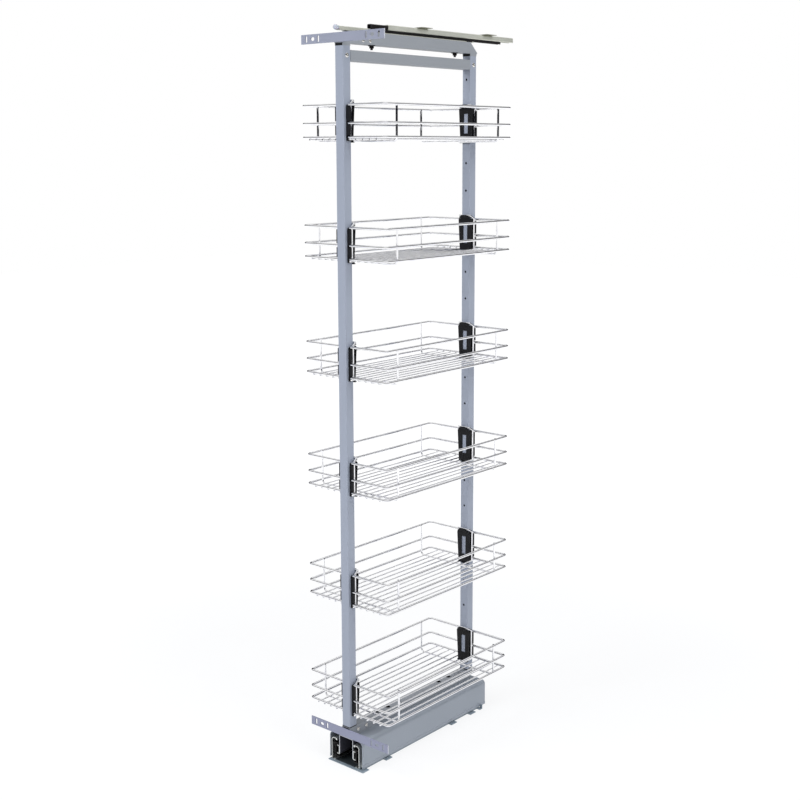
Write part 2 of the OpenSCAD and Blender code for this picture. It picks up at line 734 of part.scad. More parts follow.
// Middle member: a head inside the fixed rail and skirts round the inner one
module mid_profile() {
  z0 = top_z1 + inner_base_h + skirt_gap;
  zs = guide_z0 + guide_t + slide_fit;
  z1 = guide_z1 - guide_t - slide_fit;
  k = 1.8;
  polygon([
    [mid_bore, z0], [mid_skirt, z0], [mid_skirt, zs], [mid_head, zs], [mid_head, z1 - k], [mid_head - k, z1],
    [-mid_head + k, z1], [-mid_head, z1 - k], [-mid_head, zs], [-mid_skirt, zs], [-mid_skirt, z0],
    [-mid_bore, z0], [-mid_bore, z1 - guide_t - 0.5], [mid_bore, z1 - guide_t - 0.5]
  ]);
}
module guide_rail_middle() {
  color("dimgray") along_y(-guide_mid_front, -guide_mid_front + guide_mid_len) mid_profile();
}
module guide_middle_cap() {
  color("black") along_y(-guide_mid_front - 4, -guide_mid_front) mid_profile();
}

// Inner member on the top beam, its bumper and its rear clip
module guide_rail_inner() {
  color("beige") difference() {
    along_y(-guide_in_front, -guide_in_front + guide_in_len) polygon([
      [-inner_base_half, top_z1], [inner_base_half, top_z1], [inner_base_half, top_z1 + inner_base_h],
      [inner_half, top_z1 + inner_base_h], [inner_half, guide_z0 - 1], [inner_half - 1, guide_z0],
      [-inner_half + 1, guide_z0], [-inner_half, guide_z0 - 1], [-inner_half, top_z1 + inner_base_h],
      [-inner_base_half, top_z1 + inner_base_h]
    ]);
    for (y = bolt_y) wire_z(0, y, top_z1 - 1, top_z1 + inner_base_h, m6 + 2 * ball_fit);
  }
}
module guide_bumper() {
  color("whitesmoke") {
    translate([0, -guide_in_front - 8, bumper_z]) rotate([90, 0, 0]) rotate_extrude() polygon(concat(
      [[0, -8], [bumper_d / 3, -8], [bumper_d / 3, -2.5]],
      arc(0, 0, bumper_d / 2, -30, 90, 8)
    ));
  }
}
module guide_rear_clip() {
  color("silver") both_sides()
    block(inner_base_half, inner_base_half + 3, clip_y, clip_y + clip_len, top_z1, top_z1 + inner_base_h + 0.4);
}

// --------------------------------------------------------- door brackets

// Bar in front of the frame with an arm that lies inside a beam
module door_bracket(zb, y_slots, z_slot, d_slot) {
  za = zb + bar_h;
  difference() {
    union() {
      block(bar_x - bar_len / 2, bar_x + bar_len / 2, bar_y0, bar_y1, zb, za);
      block(arm_x0, arm_x1, bar_y1 - 0.5, bar_y1 + arm_len, zb + 3, za - 2);
    }
    for (s = [-1, 1]) {
      for (x = [slot_near, slot_far]) slot_z(bar_x + s * x, zb + bar_h / 2, 6, 15);
      slot_x(bar_x + s * slot_mid, zb + bar_h / 2, 12, 8);
    }
    for (y = y_slots) arm_slot(y, z_slot, d_slot);
  }
}
module slot_z(x, z, w, h) {
  for (k = [-1, 1]) wire_y(x, bar_y0 - 1, bar_y1 + 1, z + k * (h - w) / 2, w);
  block(x - w / 2, x + w / 2, bar_y0 - 1, bar_y1 + 1, z - (h - w) / 2, z + (h - w) / 2);
}
module slot_x(x, z, w, h) {
  for (k = [-1, 1]) wire_y(x + k * (w - h) / 2, bar_y0 - 1, bar_y1 + 1, z, h);
  block(x - (w - h) / 2, x + (w - h) / 2, bar_y0 - 1, bar_y1 + 1, z - h / 2, z + h / 2);
}
module arm_slot(y, z, d) {
  for (k = [-1, 1]) wire_x(arm_x0 - 1, arm_x1 + 1, y + k * 5, z, d);
  block(arm_x0 - 1, arm_x1 + 1, y - 5, y + 5, z - d / 2, z + d / 2);
}
module door_bracket_top() {
  color("lightsteelblue")
    door_bracket(top_z0 + 1.5, [for (y = top_screw_y) top_y0 + y], top_screw_z, m4 + 2 * screw_fit);
}
module door_bracket_bottom() {
  color("lightsteelblue")
    door_bracket(cover_z1 + 0.5, [for (y = low_screw_y) low_y0 + y], low_screw_z, m6 + 2 * screw_fit);
}

// Screws through the beam wall and the arm's slots, with nuts inside
module bracket_screw(y, z, d, head, head_h, nut_h, af) {
  translate([half, y, z]) rotate([0, 90, 0]) difference() {
    cylinder(h = head_h, d = head);
    translate([0, 0, head_h / 2]) {
      cross_recess(head, head_h);
    }
  }
  wire_x(arm_x0 - nut_h - 1, half, y, z, d);
  translate([arm_x0 - nut_h, y, z]) rotate([0, 90, 0]) hex_nut(nut_h, af, d + 2 * ball_fit);
}
module cross_recess(head, head_h) {
  s = head * 0.28;
  translate([-s, -0.6, 0]) cube([2 * s, 1.2, head_h]);
  translate([-0.6, -s, 0]) cube([1.2, 2 * s, head_h]);
}
module bracket_screws_top() {
  color("silver") for (y = top_screw_y)
    bracket_screw(top_y0 + y, top_screw_z, m4, m4_head, m4_head_h, m4_nut_h, 7);
}
module bracket_screws_bottom() {
  color("silver") for (y = low_screw_y)
    bracket_screw(low_y0 + y, low_screw_z, m6, m5_head, m5_head_h, m6_nut_h, m6_af);
}

// --------------------------------------------------------------- baskets

// One rail hoop, open at both ends where the posts stand
module hoop(z) {
  r = basket_r;
  both_sides() {
    wire_y(rail_x, -rail_y + r, rail_y - r, z, rail_d);
    both_ends() {
      wire_x(rail_end, rail_x - r, rail_y, z, rail_d);
      translate([rail_x - r, rail_y - r, z]) rotate_extrude(angle = 90) translate([r, 0]) circle(d = rail_d);
    }
  }
}
// Cross bow: two uprights and the wire under the floor in one piece
module bow(y) {
  r = bow_r;
  both_sides() {
    wire_z(bow_x, y, bow_z + r, top_rail_h + 1.5, bow_d);
    translate([bow_x - r, y, bow_z + r]) rotate([90, 0, 0]) rotate([0, 0, -90])
      rotate_extrude(angle = 90) translate([r, 0]) circle(d = bow_d);
  }
  wire_x(-bow_x + r, bow_x - r, y, bow_z, bow_d);
}
// Hanger: two legs on the end rails and an arch over the clip
module hanger() {
  k = hanger_bend;
  ax = hanger_x - 3;
  both_sides() {
    wire_z(hanger_x, leg_y, -rail_d / 2 - 0.2, hanger_h - k, hanger_d);
    translate([hanger_x, leg_y, hanger_h - k]) sphere(d = hanger_d + 0.1);
    wire([hanger_x, leg_y, hanger_h - k], [ax, arch_y, hanger_h], hanger_d);
    translate([ax, arch_y, hanger_h]) sphere(d = hanger_d + 0.1);
  }
  wire_x(-ax, ax, arch_y, hanger_h, hanger_d);
}
module basket_wires() {
  for (z = [0, mid_rail_h, top_rail_h]) hoop(z);
  for (s = [-1, 1]) bow(s * bow_y);
  for (i = [-floor_n:floor_n]) {
    e = i == 0 ? bow_y + mid_wire_over : rail_y + floor_out;
    wire_y(i * floor_pitch, -e, e, floor_z, floor_d);
  }
  both_ends() hanger();
}
module basket(i) { color("gainsboro") translate([0, 0, basket_z(i)]) union() basket_wires(); }
module basket_1() { basket(1); }
module basket_2() { basket(2); }
module basket_3() { basket(3); }
module basket_4() { basket(4); }
module basket_5() { basket(5); }
module basket_6() { basket(6); }

// ----------------------------------------------------------------- clips

// Clip on the inner face of the rear post, for the basket of one level
module clip() {
  z1 = saddle_z;
  zs = z1 - shoulder_drop;
  zw = hanger_h - hanger_bend - 2;
  lip_y = arch_y - hanger_d / 2 - slide_fit;
  w = clip_w / 2;
  zl = mid_rail_h - rail_d / 2 - lug_gap;
  zu = mid_rail_h + rail_d / 2 + lug_gap;
  zt = top_rail_h - rail_d / 2 - lug_gap;
  zb = rail_d / 2 + lug_gap;
  difference() {
    along_y(inner_y - clip_t, inner_y) polygon([
      [-clip_foot_w / 2, -clip_drop], [clip_foot_w / 2, -clip_drop], [clip_foot_w / 2, 0],
      [w, zs - 4], [w - 1.2, zs - 1.2], [w - 4, zs], [lip_half + 3, zs], [lip_half + 1, z1],
      [-lip_half - 1, z1], [-lip_half - 3, zs], [-w + 4, zs], [-w + 1.2, zs - 1.2], [-w, zs - 4],
      [-clip_foot_w / 2, 0]
    ]);
    block(-window_w / 2, window_w / 2, inner_y - clip_t - 1, inner_y + 1, window_z, window_z + window_h);
  }
  // saddle for the arch of the hanger, with a lip before the arch, and a lip at the foot
  block(-saddle_half, saddle_half, lip_y - lip_t, inner_y - clip_t + 0.5, z1 - saddle_h, z1);
  along_y(lip_y - lip_t, lip_y) polygon([
    [-lip_half, z1 - 1], [lip_half, z1 - 1], [lip_half, hanger_h - 1], [lip_half - 1.5, hanger_h + 1],
    [lip_half - 5, hanger_h + 2], [-lip_half + 5, hanger_h + 2], [-lip_half + 1.5, hanger_h + 1],
    [-lip_half, hanger_h - 1]
  ]);
  block(-clip_foot_w / 2, clip_foot_w / 2, inner_y - clip_t - 3, inner_y - clip_t + 0.5, -clip_drop, -clip_drop + 2);
  // snap pegs in two holes of the post
  for (k = [0, 1]) wire_y(0, inner_y - 0.5, inner_y + peg_len, hole_over_rail + k * hole_pitch, hole_d - 2 * screw_fit);
  // wings beside the post and lugs behind the hanger's legs
  both_sides() {
    along_x(wing_x, wing_x + wing_t) polygon([
      [inner_y - 0.5, -clip_drop + 4], [inner_y + wing_len, -clip_drop + 4], [inner_y + wing_len, zw - 4],
      [inner_y + wing_len - 1.2, zw - 1.2], [inner_y + wing_len - 4, zw], [inner_y - 0.5, zw]
    ]);
    block(wing_x, lug_x, lug_y, lug_y + lug_len, zb, zl);
    block(wing_x, lug_x, lug_y, lug_y + lug_len, zu, zt);
  }
}
module clip_rear(i) { color("black") translate([0, 0, basket_z(i)]) clip(); }
module clip_front(i) { color("black") translate([0, 0, basket_z(i)]) mirror([0, 1, 0]) clip(); }
module clip_1_front() { clip_front(1); }
module clip_1_rear() { clip_rear(1); }
module clip_2_front() { clip_front(2); }
module clip_2_rear() { clip_rear(2); }
module clip_3_front() { clip_front(3); }
module clip_3_rear() { clip_rear(3); }
module clip_4_front() { clip_front(4); }
module clip_4_rear() { clip_rear(4); }
module clip_5_front() { clip_front(5); }
module clip_5_rear() { clip_rear(5); }
module clip_6_front() { clip_front(6); }
module clip_6_rear() { clip_rear(6); }

base_plate();
base_rivets();
runner_outer_left();
runner_outer_right();
runner_middle_left();
runner_middle_right();
runner_balls_outer();
runner_balls_inner();
runner_inner_left();
runner_inner_right();
carriage_rivets();
carriage_channel();
base_cover();
lower_beam();
carriage_bolts();
carriage_nuts();
front_post();
rear_post();
post_foot_plugs();
post_foot_bolts();
post_caps();
post_cap_bolts();
cross_rail();
cross_rail_joiners();
cross_rail_screws();
top_beam();
guide_bolts();
guide_washers();
guide_rail_fixed();
guide_rail_tabs();
guide_rail_middle();
guide_middle_cap();
guide_rail_inner();
guide_bumper();
guide_rear_clip();
door_bracket_top();
door_bracket_bottom();
bracket_screws_top();
bracket_screws_bottom();
basket_1();
basket_2();
basket_3();
basket_4();
basket_5();
basket_6();
clip_1_front();
clip_1_rear();
clip_2_front();
clip_2_rear();
clip_3_front();
clip_3_rear();
clip_4_front();
clip_4_rear();
clip_5_front();
clip_5_rear();
clip_6_front();
clip_6_rear();
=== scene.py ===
"""Pull-out larder unit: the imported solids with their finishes, formed screws and welds, and a white studio.

The frame is in metres, +Z up, with the door side at -Y. Every finish is worked out by nodes on Object
coordinates, so that a pattern keeps its size in metres on each piece.
"""
import json
import math

import bpy
import numpy as np
from mathutils import Matrix, Vector


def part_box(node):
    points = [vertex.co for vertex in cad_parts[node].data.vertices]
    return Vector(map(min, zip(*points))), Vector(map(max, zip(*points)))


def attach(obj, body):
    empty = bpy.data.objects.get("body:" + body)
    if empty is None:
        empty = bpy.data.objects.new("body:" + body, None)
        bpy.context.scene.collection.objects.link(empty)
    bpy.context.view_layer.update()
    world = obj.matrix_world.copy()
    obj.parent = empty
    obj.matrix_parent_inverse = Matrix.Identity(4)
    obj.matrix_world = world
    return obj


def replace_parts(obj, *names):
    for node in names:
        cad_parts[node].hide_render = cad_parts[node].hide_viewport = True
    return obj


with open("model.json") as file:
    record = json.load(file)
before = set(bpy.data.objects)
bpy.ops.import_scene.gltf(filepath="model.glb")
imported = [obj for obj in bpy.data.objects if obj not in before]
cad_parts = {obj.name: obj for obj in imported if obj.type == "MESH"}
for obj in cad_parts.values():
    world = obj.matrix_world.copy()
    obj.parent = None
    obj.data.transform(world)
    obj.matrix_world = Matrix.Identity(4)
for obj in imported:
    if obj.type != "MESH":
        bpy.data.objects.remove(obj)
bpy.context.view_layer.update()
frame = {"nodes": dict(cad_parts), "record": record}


# ------------------------------------------------------------ shader maths


class Value:
    """A number or colour that a shader works out; an operator on it adds a Math node to the same tree."""

    def __init__(self, shader, socket):
        self.shader, self.socket = shader, socket

    def math(self, operation, *terms):
        """A Math node with its terms in order."""
        return self.shader.add("ShaderNodeMath", {"operation": operation}, dict(enumerate(terms)))

    def __add__(self, other):
        return self.math("ADD", self, other)

    def __mul__(self, other):
        return self.math("MULTIPLY", self, other)

    def __sub__(self, other):
        return self.math("SUBTRACT", self, other)

    def __rsub__(self, other):
        return self.math("SUBTRACT", other, self)

    __radd__, __rmul__ = __add__, __mul__

    def most(self, other):
        """The larger of the two."""
        return self.math("MAXIMUM", self, other)

    def below(self, limit):
        """1 where the value is less than the limit, and 0 elsewhere."""
        return self.math("LESS_THAN", self, limit)

    def within(self, middle, reach):
        """1 where the value lies nearer to the middle than reach, and 0 elsewhere."""
        off = self - middle
        return off.math("ABSOLUTE", off).below(reach)

    def step(self, low, high):
        """Rises smoothly from 0 at low to 1 at high."""
        return self.shader.add("ShaderNodeMapRange", {"interpolation_type": "SMOOTHSTEP"},
                               {"Value": self, "From Min": low, "From Max": high})


class Shader:
    """A node tree, which starts empty and is built by add()."""

    def __init__(self, tree):
        self.tree = tree
        tree.nodes.clear()

    def add(self, kind, settings=None, sockets=None, out=0):
        """A node: its settings come first, then the values or links of its sockets. Gives one output."""
        node = self.tree.nodes.new(kind)
        for name, setting in (settings or {}).items():
            setattr(node, name, setting)
        for name, given in (sockets or {}).items():
            if isinstance(given, Value):
                self.tree.links.new(given.socket, node.inputs[name])
            else:
                node.inputs[name].default_value = given
        return Value(self, node.outputs[out]) if node.outputs else None

    def mix(self, mask, first, second):
        """Colour first where the mask is 0 and second where it is 1."""
        factor, colour_a, colour_b, colour_out = 0, 6, 7, 2  # a Mix node's sockets for colours
        return self.add("ShaderNodeMix", {"data_type": "RGBA"},
                        {factor: mask, colour_a: first, colour_b: second}, colour_out)

    def noise(self, scale, detail, stretch=(1.0, 1.0, 1.0), rough=0.5):
        """Noise from 0 to 1 with scale cells a metre, pulled out along an axis where stretch is below 1."""
        where = self.add("ShaderNodeTexCoord", out="Object")
        where = self.add("ShaderNodeMapping", {}, {"Vector": where, "Scale": stretch})
        return self.add("ShaderNodeTexNoise", {},
                        {"Vector": where, "Scale": scale, "Detail": detail, "Roughness": rough})

    def place(self, axis, source="Object"):
        """A coordinate, X, Y or Z: the frame's in metres, or of a world's ray where source is Generated."""
        where = self.add("ShaderNodeTexCoord", out=source)
        return self.add("ShaderNodeSeparateXYZ", {}, {"Vector": where}, axis)

    def bump(self, height, depth, strength):
        """A normal from a height of 0 to 1 that stands for depth metres."""
        return self.add("ShaderNodeBump", {},
                        {"Height": height, "Distance": depth, "Strength": strength})

    def rays(self):
        """1 for what the camera sees, straight or in metal or glass, and 1 for what is seen in them only."""
        camera, glossy, through = (self.add("ShaderNodeLightPath", out="Is %s Ray" % kind)
                                   for kind in ("Camera", "Glossy", "Transmission"))
        mirrored = glossy.most(through)
        return camera.most(mirrored), mirrored


def srgb(red, green, blue):
    """Screen values from 0 to 255 as a linear colour."""
    screen = (red / 255, green / 255, blue / 255)
    return tuple(((c + 0.055) / 1.055) ** 2.4 if c > 0.04 else c / 12.92 for c in screen) + (1.0,)


def shade(colour, by):
    """The colour times by, up to white."""
    return tuple(min(1.0, c * by) for c in colour[:3]) + (1.0,)


def finish(name, build):
    """A material whose Principled shader takes the sockets that build(shader) returns."""
    material = bpy.data.materials.new(name)
    material.use_nodes = True
    shader = Shader(material.node_tree)
    surface = shader.add("ShaderNodeBsdfPrincipled", {}, build(shader))
    shader.add("ShaderNodeOutputMaterial", {}, {"Surface": surface})
    return material


# ---------------------------------------------------------------- finishes

# in metres; the inside of a tube is an axis across it, the middles of its bores and half their width
POST_BORES = ("Y", (0.2355, -0.2355), 0.0111)
LOWER_BEAM_BORE = ("Z", (0.0855,), 0.0112)
TOP_BEAM_BORE = ("Z", (1.761,), 0.0126)
BORE_HALF_X = 0.0111
# the channel's front edge and the bars' ends below take a painted highlight
CHANNEL_CUT_Y = -0.2484  # the channel is cut in front of this
BAR_CUT_DEPTH = 0.0003   # how far in from a bar's end its cut shows
# where the base plate takes its painted shade under the cover:
UNDER_COVER_X, UNDER_COVER_Y = (0.0, 0.0475), (0.002, 0.2515)  # middle and half width

# painted shade: the near black that stands for the shadow inside a tube
BORE_PAINTED_SHADE = (0.010, 0.010, 0.012, 1.0)
BEAM_GREY, PLATE_GREY = srgb(158, 162, 168), srgb(150, 163, 174)


def chrome_plate(s):
    """Bright chrome on drawn wire: a faint haze in patches and fine drawing lines under the plating."""
    haze = s.noise(35.0, 3.0)
    grain = s.noise(900.0, 2.0, rough=0.6)
    return {"Base Color": s.mix(haze.step(0.35, 0.75), srgb(251, 251, 252), srgb(240, 240, 245)),
            "Metallic": 1.0, "Roughness": haze * 0.05 + grain * 0.03 + 0.01,
            "Normal": s.bump(grain, 0.00003, 0.4)}


def powder_coat(colour, bores=None):
    """Satin powder coat: fine metal flake, slow change of tone and orange peel, with painted shade, near
    black, inside the bores.
    """
    def build(s):
        tone = s.noise(6.0, 2.0)
        speck = s.noise(2600.0, 1.0)
        peel = s.noise(650.0, 2.0)
        toned = s.mix(tone.step(0.3, 0.7), shade(colour, 0.975), shade(colour, 1.02))
        coat = s.mix(speck.step(0.45, 0.7), toned, shade(colour, 1.1))
        if bores:
            axis, middles, reach = bores
            inside = sum(s.place(axis).within(middle, reach) for middle in middles)
            # painted shade: the inside of a tube is coloured near black for its shadow
            coat = s.mix(inside * s.place("X").within(0.0, BORE_HALF_X), coat, BORE_PAINTED_SHADE)
        return {"Base Color": coat, "Metallic": 0.2, "Roughness": peel * 0.10 + speck * 0.06 + 0.38,
                "Coat Weight": 0.10, "Coat Roughness": 0.25, "Normal": s.bump(peel, 0.00006, 0.6)}
    return build


def folded_channel(s):
    """Dark coated channel of the carriage, with a painted highlight on the cut edge at its front end."""
    surface = powder_coat(srgb(84, 84, 94))(s)
    cut = s.place("Y").below(CHANNEL_CUT_Y)
    # painted highlight: the channel's front edge is coloured near white
    surface["Base Color"] = s.mix(cut, surface["Base Color"], srgb(214, 216, 222))
    return surface


def cut_bar(name, colour):
    """Coated bar for the door, with a painted highlight on the cut ends of the sheet."""
    low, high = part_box(name)

    def build(s):
        surface = powder_coat(colour)(s)
        cut = 1 - s.place("X").within((low[0] + high[0]) / 2, (high[0] - low[0]) / 2 - BAR_CUT_DEPTH)
        # painted highlight: the bar's ends are coloured pale
        surface["Base Color"] = s.mix(cut, surface["Base Color"], srgb(212, 213, 222))
        return surface
    return build


def floor_plate(s):
    """Coated plate of the base, with painted shade between the runners, where the cover keeps the light away.
    """
    surface = powder_coat(PLATE_GREY)(s)
    under = s.place("X").within(*UNDER_COVER_X) * s.place("Y").within(*UNDER_COVER_Y)
    # painted shade: the plate is coloured dark where the cover shades it
    surface["Base Color"] = s.mix(under, surface["Base Color"], srgb(58, 64, 68))
    return surface


def rolled_zinc(colour, rough=0.24, metal=0.9):
    """Zinc on rolled strip: streaks along the rolling direction Y and a clouded passivation."""
    def build(s):
        streak = s.noise(1400.0, 2.0, (1.0, 0.03, 1.0))
        cloud = s.noise(28.0, 4.0, (1.0, 0.4, 1.0), 0.6)
        tinted = s.mix(cloud.step(0.3, 0.7), shade(colour, 0.90), shade(colour, 1.06))
        return {"Base Color": s.mix(streak.step(0.3, 0.8), tinted, shade(colour, 0.86)),
                "Metallic": metal, "Roughness": streak * 0.14 + cloud * 0.10 + rough,
                "Normal": s.bump(streak, 0.00003, 0.5)}
    return build


def turned_metal(colour, rough):
    """Plated fasteners: bright, with a fine irregular gloss."""
    def build(s):
        gloss = s.noise(420.0, 3.0)
        return {"Base Color": s.mix(gloss.step(0.3, 0.75), colour, shade(colour, 0.86)),
                "Metallic": 1.0, "Roughness": gloss * 0.16 + rough,
                "Normal": s.bump(gloss, 0.00003, 0.4)}
    return build


def moulded(colour):
    """Moulded plastic with a fine eroded grain and slow gloss changes from the mould."""
    def build(s):
        grain = s.noise(2200.0, 2.0)
        flow = s.noise(40.0, 2.0)
        return {"Base Color": s.mix(flow.step(0.3, 0.7), colour, shade(colour, 1.3)),
                "Roughness": flow * 0.12 + grain * 0.08 + 0.44, "Specular IOR Level": 0.3,
                "Normal": s.bump(grain, 0.00005, 0.6)}
    return build


def clear_moulded(s):
    """Milky soft plastic of the bumper."""
    cloud = s.noise(160.0, 2.0)
    return {"Base Color": s.mix(cloud, srgb(226, 229, 240), srgb(205, 210, 226)),
            "Roughness": cloud * 0.1 + 0.24,
            "Transmission Weight": 0.35, "IOR": 1.45, "Subsurface Weight": 0.15}


slot_finish = {
    "basket_chrome": finish("wire_chrome", chrome_plate),
    "post_paint": finish("post_powder_coat", powder_coat(srgb(165, 172, 187), POST_BORES)),
    "beam_paint": finish("beam_powder_coat", powder_coat(BEAM_GREY)),
    "base_paint": finish("plate_powder_coat", powder_coat(PLATE_GREY)),
    "channel_paint": finish("channel_powder_coat", folded_channel),
    "runner_zinc": finish("runner_zinc", rolled_zinc(srgb(228, 230, 228))),
    "runner_dark": finish("middle_member_steel", rolled_zinc(srgb(52, 50, 50), 0.34)),
    "guide_zinc": finish("guide_olive_zinc", rolled_zinc(srgb(232, 233, 220), 0.20, 0.5)),
    "zinc": finish("fastener_zinc", turned_metal(srgb(206, 206, 204), 0.22)),
    "bright_screw": finish("screw_nickel", turned_metal(srgb(240, 238, 234), 0.08)),
    "black_steel": finish("bolt_black_oxide", turned_metal(srgb(46, 44, 44), 0.30)),
    "joiner_steel": finish("joiner_steel", turned_metal(srgb(140, 140, 146), 0.34)),
    "black_plastic": finish("clip_black_plastic", moulded(srgb(17, 17, 20))),
    "pale_plastic": finish("bumper_plastic", clear_moulded),
}
own_finish = {
    "guide_rail_tabs": finish("tab_olive_zinc", rolled_zinc(srgb(148, 148, 126), 0.28, 0.6)),
    "base_plate": finish("floor_plate_coat", floor_plate),
    "door_bracket_top": finish("top_bar_powder_coat",
                               cut_bar("door_bracket_top", srgb(158, 162, 179))),
    "door_bracket_bottom": finish("bottom_bar_powder_coat",
                                  cut_bar("door_bracket_bottom", srgb(152, 155, 178))),
    "base_cover": finish("cover_powder_coat", powder_coat(srgb(160, 167, 177))),
    "lower_beam": finish("lower_beam_powder_coat", powder_coat(BEAM_GREY, LOWER_BEAM_BORE)),
    "top_beam": finish("top_beam_powder_coat", powder_coat(BEAM_GREY, TOP_BEAM_BORE)),
}
slot_of = {part["node"]: part["material_slot"] for part in frame["record"]["subparts"]}
for name, node in frame["nodes"].items():
    for slot in node.material_slots:
        slot.material = own_finish.get(name, slot_finish[slot_of[name]])


# ------------------------------------------------- formed screws and welds

# a shape here is an array of points and a list of arrays of faces


def ring_quads(rings, count, loop=False):
    """Quads between neighbouring rings of count points: (k, j), (k + 1, j), (k + 1, j + 1), (k, j + 1)."""
    k, j = np.meshgrid(np.arange(rings if loop else rings - 1), np.arange(count), indexing="ij")
    after, beside = (k + 1) % rings, (j + 1) % count
    corners = (k * count + j, after * count + j, after * count + beside, k * count + beside)
    return np.stack(corners, -1).reshape(-1, 4)


def turned(radius, height, count):
    """A profile from its upper to its lower pole, turned in count steps.

    Point (k, j) is (radius_k cos a_j, radius_k sin a_j, height_k) with a_j = 2 pi j / count. Each pole is
    one point, which a fan of triangles joins to its ring.
    """
    a = 2 * math.pi * np.arange(count) / count
    rings = np.stack([np.outer(radius, np.cos(a)), np.outer(radius, np.sin(a)),
                      np.outer(height, np.ones(count))], -1)
    points = np.concatenate([rings[1:-1].reshape(-1, 3), rings[0, :1], rings[-1, :1]])
    j = np.arange(count)
    beside, last_ring = (j + 1) % count, (len(radius) - 3) * count
    upper, lower = np.full(count, len(points) - 2), np.full(count, len(points) - 1)
    return points, [ring_quads(len(radius) - 2, count), np.stack([upper, j, beside], -1),
                    np.stack([last_ring + j, lower, last_ring + beside], -1)]


def hex_nut(across, bore, height):
    """A hexagon nut: rings at its bore, edge, edge and bore, joined in a loop.

    The edge's radius at angle a is across / 2 / cos(the angle from a to the middle of its flat).
    """
    count = 48
    a = 2 * math.pi * np.arange(count) / count
    from_flat = (a + math.pi / 6) % (math.pi / 3) - math.pi / 6
    hole, edge = np.full(count, bore / 2), across / 2 / np.cos(from_flat)
    radius = np.stack([hole, edge, edge, hole])
    level = np.outer((0.0, 0.0, height, height), np.ones(count))
    points = np.stack([radius * np.cos(a), radius * np.sin(a), level], -1)
    return points.reshape(-1, 3), [ring_quads(4, count, loop=True)[:, ::-1]]


def along_x(shape, place):
    """The shape with its height along X, moved to place."""
    points, faces = shape
    return points[:, [2, 0, 1]] + place, faces


def join(shapes):
    """One shape out of several."""
    starts = np.cumsum([0] + [len(points) for points, faces in shapes])
    return (np.concatenate([points for points, faces in shapes]),
            [kind + start for (points, faces), start in zip(shapes, starts) for kind in faces])


def add_piece(name, shape, slot, body):
    """A smooth piece in the frame's place that rides on a body, with its slot's finish."""
    points, faces = shape
    mesh = bpy.data.meshes.new(name)
    mesh.from_pydata(points.tolist(), [], sum((kind.tolist() for kind in faces), []))
    mesh.polygons.foreach_set("use_smooth", [True] * len(mesh.polygons))
    mesh.materials.append(slot_finish[slot])
    piece = bpy.data.objects.new(name, mesh)
    bpy.context.scene.collection.objects.link(piece)
    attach(piece, body)
    return piece


SIDE_FACE = 0.0125      # x of the side faces of the beams and posts
NUT_CLEARANCE = 0.0001  # of a nut's bore round its shank
SCREWS = (  # node, y of each, z, head's width and height, shank's width, tip's x, nut's (x, width, height)
    ("cross_rail_screws", (-0.2355, 0.2355), 1.7195, 0.011, 0.0028, 0.004, 0.001, None),
    ("bracket_screws_top", (-0.180, -0.156), 1.755, 0.008, 0.0022, 0.004, 0.0043,
     (0.0053, 0.007, 0.0032)),
    ("bracket_screws_bottom", (-0.218, -0.188), 0.086, 0.011, 0.0028, 0.006, 0.0025,
     (0.0035, 0.010, 0.005)),
)


def pan_head(width, rise, shank, tip):
    """A pan head with a cross recess and its shank: the head's seat is at height 0 and the tip below.

    The dome is radius R sin t, height rise (0.3 + 0.7 cos(t) ** 0.9) for t from 0 to a right angle. The
    recess takes off 0.62 rise times the larger of two crossed bars, each 1 in its middle and 0 outside.
    """
    R, r = width / 2, shank / 2
    edge, chamfer = 0.0002, 0.0005
    under = np.array([(R, 0.12 * rise), (R - edge, 0.0), (r, 0.0), (r, tip + chamfer), (r - chamfer, tip),
                      (0.0, tip)])
    t = np.linspace(0, math.pi / 2, 23)
    dome = rise * (0.30 + 0.70 * np.maximum(np.cos(t), 0) ** 0.9)
    points, faces = turned(np.append(R * np.sin(t), under[:, 0]), np.append(dome, under[:, 1]), 64)

    half_length, half_width, end_slope, side_slope = 0.50 * R, 0.115 * R, 0.20 * R, 0.12 * R

    def bar(along, off):
        """1 on a bar of the cross, falling to 0 over its end and side slopes."""
        ends, sides = half_length - np.abs(along), half_width - np.abs(off)
        return np.clip(ends / end_slope, 0, 1) * np.clip(1 + sides / side_slope, 0, 1)

    u, v, level = points.T
    recess = 0.62 * rise * np.maximum(bar(u, v), bar(v, u))
    points[:, 2] -= np.where(level > 0, recess, 0.0)
    return points, faces


def formed_screws():
    """The screws that show on the beams and posts, in place of their plain solids."""
    for node, ys, z, width, rise, shank, tip_x, nut in SCREWS:
        shapes = [along_x(pan_head(width, rise, shank, tip_x - SIDE_FACE), (SIDE_FACE, y, z)) for y in ys]
        if nut:
            nut_x, across, height = nut
            shapes += [along_x(hex_nut(across, shank + NUT_CLEARANCE, height), (nut_x, y, z)) for y in ys]
        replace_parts(add_piece("formed_" + node, join(shapes), "bright_screw", "frame"), node)


# in metres from the middle of a basket and of its lowest rail: where its wires' middles are
RAIL_X, RAIL_Y, BOW_Y, HANGER_X = 0.1295, 0.2370, 0.1920, 0.0195
RAIL_LEVELS, FLOOR_PITCH = (0.0, 0.032, 0.0735), 0.021
FLOOR_WIRES = range(-5, 6)
ON_RAIL, ON_BOW = -0.0031, -0.0063  # height of a weld between a floor wire and an end rail or a bow
INSIDE_RAIL = 0.0031                # from a rail's middle to a weld on its inner side
BASKETS, LOWEST_BASKET, BASKET_PITCH = 6, 0.136, 0.28


